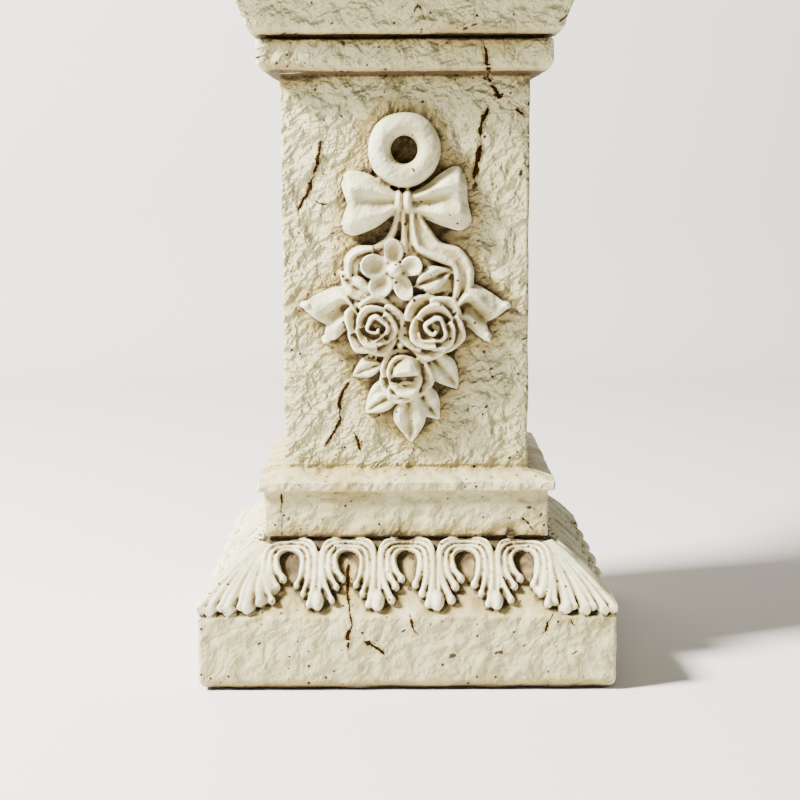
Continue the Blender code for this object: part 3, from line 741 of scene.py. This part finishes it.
# The wash and the painted shade.
# A brown oil wash was brushed over the ivory and wiped off again. It stays where the cloth can't
# reach: round the relief, between the leaves, under the band and in the ring's hole. The same tan
# and brown also stand for painted shade in these hollows and crevices, and for a painted contact
# shadow along the bottom edge of the foot.
places = vertex_vectors(casting.data, "co")
normals = vertex_vectors(casting.data, "normal")
count = len(places)
faces = [tuple(polygon.vertices) for polygon in casting.data.polygons]
skin = BVHTree.FromPolygons([Vector(place) for place in places], faces)

# Each vertex is told how much of its sky is blocked within this reach, by rays that start just off
# the skin and don't graze it, then how far it bulges and how far away the relief is.
shelter_reach = 13 * MM
start_off = 0.15 * MM
grazing = 0.12
rays = 30
golden = math.pi * (3 - math.sqrt(5))
sky = []
for i in range(rays):
    up = 1 - 2 * (i + 0.5) / rays
    round_about = math.sqrt(1 - up * up)
    sky.append(Vector((round_about * math.cos(golden * i), round_about * math.sin(golden * i), up)))
shelter = np.zeros(count)
for i in range(count):
    normal = Vector(normals[i])
    start = Vector(places[i]) + normal * start_off
    blocked = 0.0
    total = 0.0
    for ray in sky:
        lean = ray.dot(normal)
        if lean > grazing:
            total += lean
            distance = skin.ray_cast(start, ray, shelter_reach)[3]
            if distance is not None:
                blocked += lean * (1 - distance / shelter_reach)
    shelter[i] = blocked / max(total, 0.01)
edges = np.empty(len(casting.data.edges) * 2, dtype=np.int64)
casting.data.edges.foreach_get("vertices", edges)
edges = edges.reshape(-1, 2)


def neighbour_mean(values):
    """Each vertex's value averaged with its neighbours'."""
    total = values.copy()
    number = np.ones(count)
    for here, there in ((edges[:, 0], edges[:, 1]), (edges[:, 1], edges[:, 0])):
        total += np.bincount(here, values[there], count)
        number += np.bincount(here, minlength=count)
    return total / number


bulge = np.zeros(count)
number = np.zeros(count)
for here, there in ((edges[:, 0], edges[:, 1]), (edges[:, 1], edges[:, 0])):
    step = places[here] - places[there]
    length = np.linalg.norm(step, axis=1) + 1e-9
    bulge += np.bincount(here, (step * normals[here]).sum(1) / length, count)
    number += np.bincount(here, minlength=count)
bulge = neighbour_mean(bulge / number)
shelter = neighbour_mean(shelter)
reach_out = np.maximum(np.abs(places[:, 0]), np.abs(places[:, 1]))
outline_half, outline_up = np.array(tier_outline).T
plain_half = np.interp(places[:, 2], outline_up, outline_half)
relief_least = 1.0 * MM
raised = np.flatnonzero(reach_out - plain_half > relief_least)
tree_of_relief = KDTree(len(raised))
for i in raised:
    tree_of_relief.insert(places[i], int(i))
tree_of_relief.balance()
gap_reach = 16 * MM
gap = np.array([min(tree_of_relief.find(place)[2], gap_reach) for place in places]) / MM
# Lines along the plain inner corners are darkened more: painted shade under the band and under the cap, wash
# with painted shade where the slope meets the die and where the shaft meets the ledge, and a painted contact
# shadow along the bottom edge of the foot.
in_corner = reach_out < plain_half + 2 * MM
for corner, depth, fade in (
    (0.0, 1.5, 2.2),
    (slope_top, 0.45, 2.2),
    (shaft_foot, 0.30, 2.2),
    (band, 1.2, 1.0),
    (groove, 0.45, 2.2),
):
    shelter += np.where(in_corner, depth * np.exp(-np.abs(places[:, 2] - corner) / (fade * MM)), 0.0)
# The ring's blind hole is darkened more: wash with painted shade in it.
from_ring = np.hypot(places[:, 0] - ring_across * MM, places[:, 2] - ring_up * MM)
ring_hole_half = 5.4 * MM
hole_floor = shaft_half + 1.2 * MM
in_ring_hole = (from_ring < ring_hole_half) & (places[:, 1] < 0) & (reach_out < hole_floor)
shelter += np.where(in_ring_hole, 0.5, 0.0)
layers = {"shelter": shelter, "bulge": bulge, "gap": gap, "crack": aside, "crack_width": width}
for name, values in layers.items():
    layer = casting.data.attributes.new(name, "FLOAT", "POINT")
    layer.data.foreach_set("value", values.astype(np.float32))
for polygon in casting.data.polygons:
    polygon.use_smooth = True


# The resin and its finish.
# Ivory, stone-filled polyester resin, cast in a rubber mould: it is matt and a little chalky, with
# the marks of the carver's tool, some pinholes, and the wash in its hollows. Its colour also
# carries painted shade in the hollows, in the stroke hollows and on the plain walls, and a painted
# highlight on the raised edges.
def linear(hex_colour):
    """An sRGB hex colour as linear red, green, blue and alpha."""
    channels = [int(hex_colour[i:i + 2], 16) / 255 for i in (1, 3, 5)]
    return (*(c / 12.92 if c <= 0.04045 else ((c + 0.055) / 1.055) ** 2.4 for c in channels), 1.0)


# Its colour holds the wash together with painted shade and a painted highlight.
resin = bpy.data.materials.new("ivory stone-filled resin with brown wash")
resin.use_nodes = True
tree = resin.node_tree
shader = tree.nodes["Principled BSDF"]
shader.inputs["IOR"].default_value = 1.52


def add(kind, inputs, output=0, **settings):
    """Adds a node with its settings, sets or links its inputs, and gives back one output."""
    node = tree.nodes.new("ShaderNode" + kind)
    for name, value in settings.items():
        setattr(node, name, value)
    for name, value in inputs.items():
        if isinstance(value, bpy.types.NodeSocket):
            tree.links.new(value, node.inputs[name])
        else:
            node.inputs[name].default_value = value
    return node.outputs[output]


shelter_value, bulge_value, gap_value, aside_value, width_value = (
    add("Attribute", {}, "Fac", attribute_name=name) for name in layers)
place = add("TexCoord", {}, "Object")
axis_x, axis_y, axis_z = (add("SeparateXYZ", {0: place}, axis) for axis in "XYZ")
one_way = add("Math", {0: axis_x, 1: axis_y}, operation="ADD")
other_way = add("Math", {0: axis_x, 1: axis_y}, operation="SUBTRACT")
wall_place = add("CombineXYZ", {"X": one_way, "Y": axis_z, "Z": other_way})

# The carver's strokes rise to the right, each some 5 mm long and 3 mm wide, and overlap.
sway = add("TexNoise", {"Vector": place, "Scale": 1 / (24 * MM), "Detail": 1.0}, "Color")
swaying = add("VectorMath", {0: sway, 1: (16 * MM, 16 * MM, 0.0), 2: wall_place}, operation="MULTIPLY_ADD")
stroke_place = add("Mapping", {"Vector": swaying, "Rotation": (0, 0, math.radians(38)),
                               "Scale": (5.4 * MM, 2.9 * MM, 8.0 * MM)}, vector_type="TEXTURE")
strokes = add("TexNoise", {"Vector": stroke_place, "Scale": 1.0, "Detail": 1.2, "Roughness": 0.5,
                           "Distortion": 0.25})
stroke_sway = add("TexNoise", {"Vector": stroke_place, "Scale": 0.6, "Detail": 2.0}, "Color")
swayed = add("VectorMath", {0: stroke_sway, 1: (1.2, 1.2, 0.0), 2: stroke_place}, operation="MULTIPLY_ADD")
scoops = add("TexVoronoi", {"Vector": swayed, "Scale": 0.42, "Smoothness": 0.3}, "Distance",
             feature="SMOOTH_F1")
grain = add("TexNoise", {"Vector": place, "Scale": 1 / (0.8 * MM), "Detail": 3.0})
lumps = add("TexNoise", {"Vector": place, "Scale": 1 / (4.6 * MM), "Detail": 2.0, "Roughness": 0.5})
mottle = add("TexNoise", {"Vector": place, "Scale": 1 / (15 * MM), "Detail": 4.0, "Roughness": 0.62})
dents = add("TexNoise", {"Vector": place, "Scale": 1 / (8 * MM), "Detail": 1.0})
on_wall = add("MapRange", {"Value": gap_value, "From Min": 0.0, "From Max": 1.2, "To Min": 0.20})

# Pinholes up to 0.8 mm wide, and short gouges that lie along the strokes.
pin_cells = add("TexVoronoi", {"Vector": place, "Scale": 1 / (3.4 * MM)}, "Distance")
pin_chance = add("TexVoronoi", {"Vector": place, "Scale": 1 / (3.4 * MM)}, "Color")
pin_share = add("SeparateColor", {0: pin_chance}, "Red")
pin_size = add("MapRange", {"Value": pin_share, "From Min": 0.25, "To Min": -0.02, "To Max": 0.21})
pin_size = add("Math", {0: shelter_value, 1: 0.10, 2: pin_size}, operation="MULTIPLY_ADD")
pin_inside = add("Math", {0: pin_size, 1: pin_cells}, operation="SUBTRACT")
pins = add("MapRange", {"Value": pin_inside, "From Max": 0.05}, interpolation_type="SMOOTHSTEP")
gouge_cells = add("TexVoronoi", {"Vector": swayed, "Scale": 0.62}, "Distance")
gouge_chance = add("TexVoronoi", {"Vector": swayed, "Scale": 0.62}, "Color")
gouge_share = add("SeparateColor", {0: gouge_chance}, "Green")
gouge_size = add("MapRange", {"Value": gouge_share, "From Min": 0.52, "To Min": -0.02, "To Max": 0.23})
gouge_ragged = add("Math", {0: grain, 1: 0.20, 2: gouge_cells}, operation="MULTIPLY_ADD")
gouge_inside = add("Math", {0: gouge_size, 1: gouge_ragged}, operation="SUBTRACT")
gouges = add("MapRange", {"Value": gouge_inside, "From Min": -0.10, "From Max": -0.02},
             interpolation_type="SMOOTHSTEP")
gouges = add("Math", {0: gouges, 1: on_wall}, operation="MULTIPLY")
holes = add("Math", {0: pins, 1: gouges}, operation="MAXIMUM")

# The cracks are ragged and come and go in width, and brown has crept into their lips.
crack_throw = add("MapRange", {"Value": grain, "To Min": -0.7, "To Max": 0.7})
crack_line = add("Math", {0: aside_value, 1: crack_throw}, operation="ADD")
crack_away = add("Math", {0: crack_line}, operation="ABSOLUTE")
crack_swell = add("MapRange", {"Value": lumps, "From Min": 0.34, "From Max": 0.62, "To Min": 0.4,
                               "To Max": 1.9})
crack_half = add("Math", {0: width_value, 1: crack_swell}, operation="MULTIPLY")
crack_inside = add("Math", {0: crack_half, 1: crack_away}, operation="SUBTRACT")
crack = add("MapRange", {"Value": crack_inside, "From Min": -0.04, "From Max": 0.14},
            interpolation_type="SMOOTHSTEP")
crack_lips = add("Math", {0: width_value, 1: 3.4, 2: crack_inside}, operation="MULTIPLY_ADD")
crack_lips = add("MapRange", {"Value": crack_lips, "From Max": 1.2, "To Max": 0.55})
crack_lips = add("Math", {0: crack_lips, 1: crack_swell}, operation="MULTIPLY", use_clamp=True)

# The wash lies in what is sheltered and in creases, fades out within some 12 mm of the relief, and is
# patchy. Partly it is painted shade: in the hollows, in the creases and round the relief.
near_relief = add("MapRange", {"Value": gap_value, "From Min": 1.0, "From Max": 12.0, "To Min": 0.26,
                               "To Max": 0.0}, interpolation_type="SMOOTHSTEP")
near_relief = add("Math", {0: near_relief, 1: on_wall}, operation="MULTIPLY")
wash = add("Math", {0: shelter_value, 1: near_relief}, operation="ADD")
crevice = add("MapRange", {"Value": bulge_value, "From Min": -0.01, "From Max": -0.14, "To Max": 0.46})
wash = add("Math", {0: wash, 1: crevice}, operation="ADD")
patch = add("MapRange", {"Value": mottle, "To Min": -0.24, "To Max": 0.24})
wash = add("Math", {0: wash, 1: patch}, operation="ADD")
rub = add("MapRange", {"Value": strokes, "To Min": 0.10, "To Max": -0.10})
wash = add("Math", {0: wash, 1: rub}, operation="ADD")
# Tan and brown for the wash. Where it lies deep, they also paint the shade of the hollows.
tan_wash_and_shade = add("MapRange", {"Value": wash, "From Min": 0.06, "From Max": 0.44, "To Max": 0.74},
               interpolation_type="SMOOTHSTEP")
brown_wash_and_shade = add("MapRange", {"Value": wash, "From Min": 0.42, "From Max": 0.82, "To Max": 0.94},
                 interpolation_type="SMOOTHSTEP")
# Painted shade: the hollows of the carver's strokes are painted a darker olive grey.
stroke_hollow_shade = add("MapRange", {"Value": strokes, "From Min": 0.50, "From Max": 0.30, "To Max": 0.28},
                interpolation_type="SMOOTHSTEP")
# Raised edges are painted paler than the ivory: partly wash rubbed off, partly a painted highlight.
rubbed_edges_and_highlight = add("MapRange", {"Value": bulge_value, "From Min": 0.03, "From Max": 0.20, "To Max": 0.65},
                   interpolation_type="SMOOTHSTEP")
# Painted shade: the plain walls away from the relief are painted a darker olive than the relief.
wall_shade = add("MapRange", {"Value": gap_value, "From Min": 0.0, "From Max": 2.5, "To Max": 0.6})
pale = add("MapRange", {"Value": mottle, "From Min": 0.35, "From Max": 0.66}, interpolation_type="SMOOTHSTEP")
colour = add("Mix", {0: pale, 6: linear("#D2CEAB"), 7: linear("#BFBB96")}, 2, data_type="RGBA")
for amount, shade in (
    (wall_shade, "#B4AA76"),
    (stroke_hollow_shade, "#8E8960"),
    (tan_wash_and_shade, "#9E884E"),
    (brown_wash_and_shade, "#3A290C"),
    (rubbed_edges_and_highlight, "#F2ECD4"),
    (crack_lips, "#8A7038"),
    (holes, "#35250C"),
    (crack, "#271A0A"),
):
    colour = add("Mix", {0: amount, 6: colour, 7: linear(shade)}, 2, data_type="RGBA")
tree.links.new(colour, shader.inputs["Base Color"])
roughness = add("MapRange", {"Value": tan_wash_and_shade, "To Min": 0.60, "To Max": 0.80})
tree.links.new(roughness, shader.inputs["Roughness"])
sheen = add("MapRange", {"Value": crack, "To Min": 0.35, "To Max": 0.0})
tree.links.new(sheen, shader.inputs["Specular IOR Level"])

# The skin's height in metres: strokes and scoops on the walls, lumps on flat tops too, and fine
# grain everywhere.
facing = add("NewGeometry", {}, "Normal")
facing_up = add("SeparateXYZ", {0: facing}, "Z")
steep = add("Math", {0: facing_up}, operation="ABSOLUTE")
upright = add("MapRange", {"Value": steep, "From Min": 0.35, "From Max": 0.8, "To Min": 1.0, "To Max": 0.15})
on_shaft = add("MapRange", {"Value": axis_z, "From Min": ledge_top + 1 * MM,
                            "From Max": shaft_foot + 2 * MM, "To Min": 0.34})
height_sum = add("Math", {0: strokes, 1: 3.4 * MM}, operation="MULTIPLY")
height_sum = add("Math", {0: scoops, 1: 3.4 * MM, 2: height_sum}, operation="MULTIPLY_ADD")
height_sum = add("Math", {0: height_sum, 1: upright}, operation="MULTIPLY")
height_sum = add("Math", {0: lumps, 1: 3.0 * MM, 2: height_sum}, operation="MULTIPLY_ADD")
worn_smooth = add("MapRange", {"Value": mottle, "From Min": 0.36, "From Max": 0.58, "To Min": 0.55})
worked = add("Math", {0: on_shaft, 1: worn_smooth}, operation="MULTIPLY")
height_sum = add("Math", {0: height_sum, 1: worked}, operation="MULTIPLY")
height_sum = add("Math", {0: dents, 1: 3.0 * MM, 2: height_sum}, operation="MULTIPLY_ADD")
height_sum = add("Math", {0: height_sum, 1: on_wall}, operation="MULTIPLY")
height_sum = add("Math", {0: grain, 1: 0.20 * MM, 2: height_sum}, operation="MULTIPLY_ADD")
height_sum = add("Math", {0: holes, 1: -0.35 * MM, 2: height_sum}, operation="MULTIPLY_ADD")
height_sum = add("Math", {0: crack, 1: -0.8 * MM, 2: height_sum}, operation="MULTIPLY_ADD")
bumped = add("Bump", {"Height": height_sum, "Distance": 1.0, "Strength": 1.0}, "Normal")
tree.links.new(bumped, shader.inputs["Normal"])
casting.data.materials.clear()
casting.data.materials.append(resin)
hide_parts("column_pedestal")
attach(casting, "root")


# The floor and the light.
# A plain pale sheet lies under the pedestal and bends up behind it. One soft light stands high on
# the left and a little in front. A weak one in front and the pale surroundings fill the shadows.
floor_up = -0.2 * MM
sheet_half_width = 2.5
sheet_half_depth = 1.2
bend_start = 0.80
bend_up = 150 * MM + floor_up
sheet_top = 1.6
sheet = bmesh.new()
bmesh.ops.create_grid(sheet, x_segments=1, y_segments=1, size=1.0)
for vert in sheet.verts:
    back = bend_start + (vert.co.y - 1) * sheet_half_depth
    vert.co = Vector((vert.co.x * sheet_half_width, back, floor_up))
back_edge = [e for e in sheet.edges if all(v.co.y > 0 for v in e.verts)]
bmesh.ops.spin(sheet, geom=back_edge, cent=(0, bend_start, bend_up), axis=(1, 0, 0), dvec=(0, 0, 0),
               angle=math.radians(90), steps=16, use_merge=False, use_duplicate=False)
top_edge = [e for e in sheet.edges if e.is_boundary and all(abs(v.co.z - bend_up) < 1e-4 for v in e.verts)]
grown = bmesh.ops.extrude_edge_only(sheet, edges=top_edge)["geom"]
for vert in (g for g in grown if isinstance(g, bmesh.types.BMVert)):
    vert.co.z = sheet_top
bmesh.ops.recalc_face_normals(sheet, faces=sheet.faces[:])
floor_mesh = bpy.data.meshes.new("floor")
sheet.to_mesh(floor_mesh)
for polygon in floor_mesh.polygons:
    polygon.use_smooth = True
floor = bpy.data.objects.new("floor", floor_mesh)
bpy.context.scene.collection.objects.link(floor)

# Uncoated backdrop paper: pale, even and matt, so it takes soft shadows and shows no highlight.
paper = bpy.data.materials.new("matt pale backdrop paper")
paper.use_nodes = True
paper.node_tree.nodes["Principled BSDF"].inputs["Base Color"].default_value = linear("#DAD8D4")
paper.node_tree.nodes["Principled BSDF"].inputs["Roughness"].default_value = 0.9
floor_mesh.materials.append(paper)


def soft_light(name, place, towards, size, power, hex_colour):
    """A square soft light facing a point."""
    light = bpy.data.lights.new(name, "AREA")
    light.shape = "SQUARE"
    light.size = size
    light.energy = power
    light.color = linear(hex_colour)[:3]
    lamp = bpy.data.objects.new(name, light)
    lamp.location = place
    lamp.rotation_euler = (Vector(towards) - Vector(place)).to_track_quat("-Z", "Y").to_euler()
    bpy.context.scene.collection.objects.link(lamp)


soft_light("key", (-1.05, -0.40, 1.12), (0, 0, 0.14), 0.28, 170.0, "#FFFCF4")
soft_light("fill", (0.2, -1.6, 0.7), (0, 0, 0.14), 1.1, 1.4, "#F8F8FF")
world = bpy.data.worlds.new("pale room")
world.use_nodes = True
world.node_tree.nodes["Background"].inputs["Color"].default_value = linear("#F2F1EE")
world.node_tree.nodes["Background"].inputs["Strength"].default_value = 0.06
bpy.context.scene.world = world
